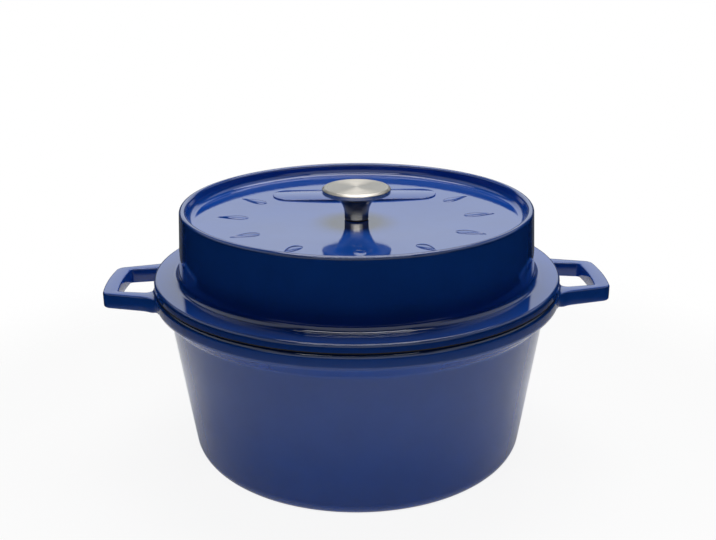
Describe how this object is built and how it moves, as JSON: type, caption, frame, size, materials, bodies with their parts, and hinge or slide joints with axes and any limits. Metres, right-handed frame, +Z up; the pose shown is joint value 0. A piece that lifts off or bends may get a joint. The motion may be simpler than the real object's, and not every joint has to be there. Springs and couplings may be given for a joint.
{
  "type": "dutch oven",
  "caption": "Round enamelled cast-iron dutch oven with loop handles at the rim and a tall lift-off lid whose top is recessed inside a raised rim around a metal mushroom knob.",
  "frame": {"origin": "centre of the flat base, on the surface that the pot stands on", "axes": "+Z up, X through the two loop handles, -Y towards the viewer of the picture"},
  "size_m": [0.3456, 0.278, 0.1854],
  "materials": {
    "pot_enamel": "gloss cobalt-blue vitreous enamel on cast iron",
    "lid_enamel": "gloss cobalt-blue vitreous enamel on cast iron",
    "knob_metal": "satin nickel, brushed on top",
    "gasket_silicone": "matt dark silicone",
    "fastener_steel": "plain bright steel"
  },
  "bodies": {
    "pot": {"pot_body": "pot_enamel"},
    "lid": {"lid": "lid_enamel", "knob": "knob_metal", "knob_gasket": "gasket_silicone", "knob_screw": "fastener_steel", "flat_washer": "fastener_steel", "lock_washer": "fastener_steel"}
  },
  "joints": [
    {"name": "lid_lift", "type": "slide", "parent": "pot", "child": "lid", "axis": [0, 0, 1], "range_m": [0, 0.15]}
  ]
}
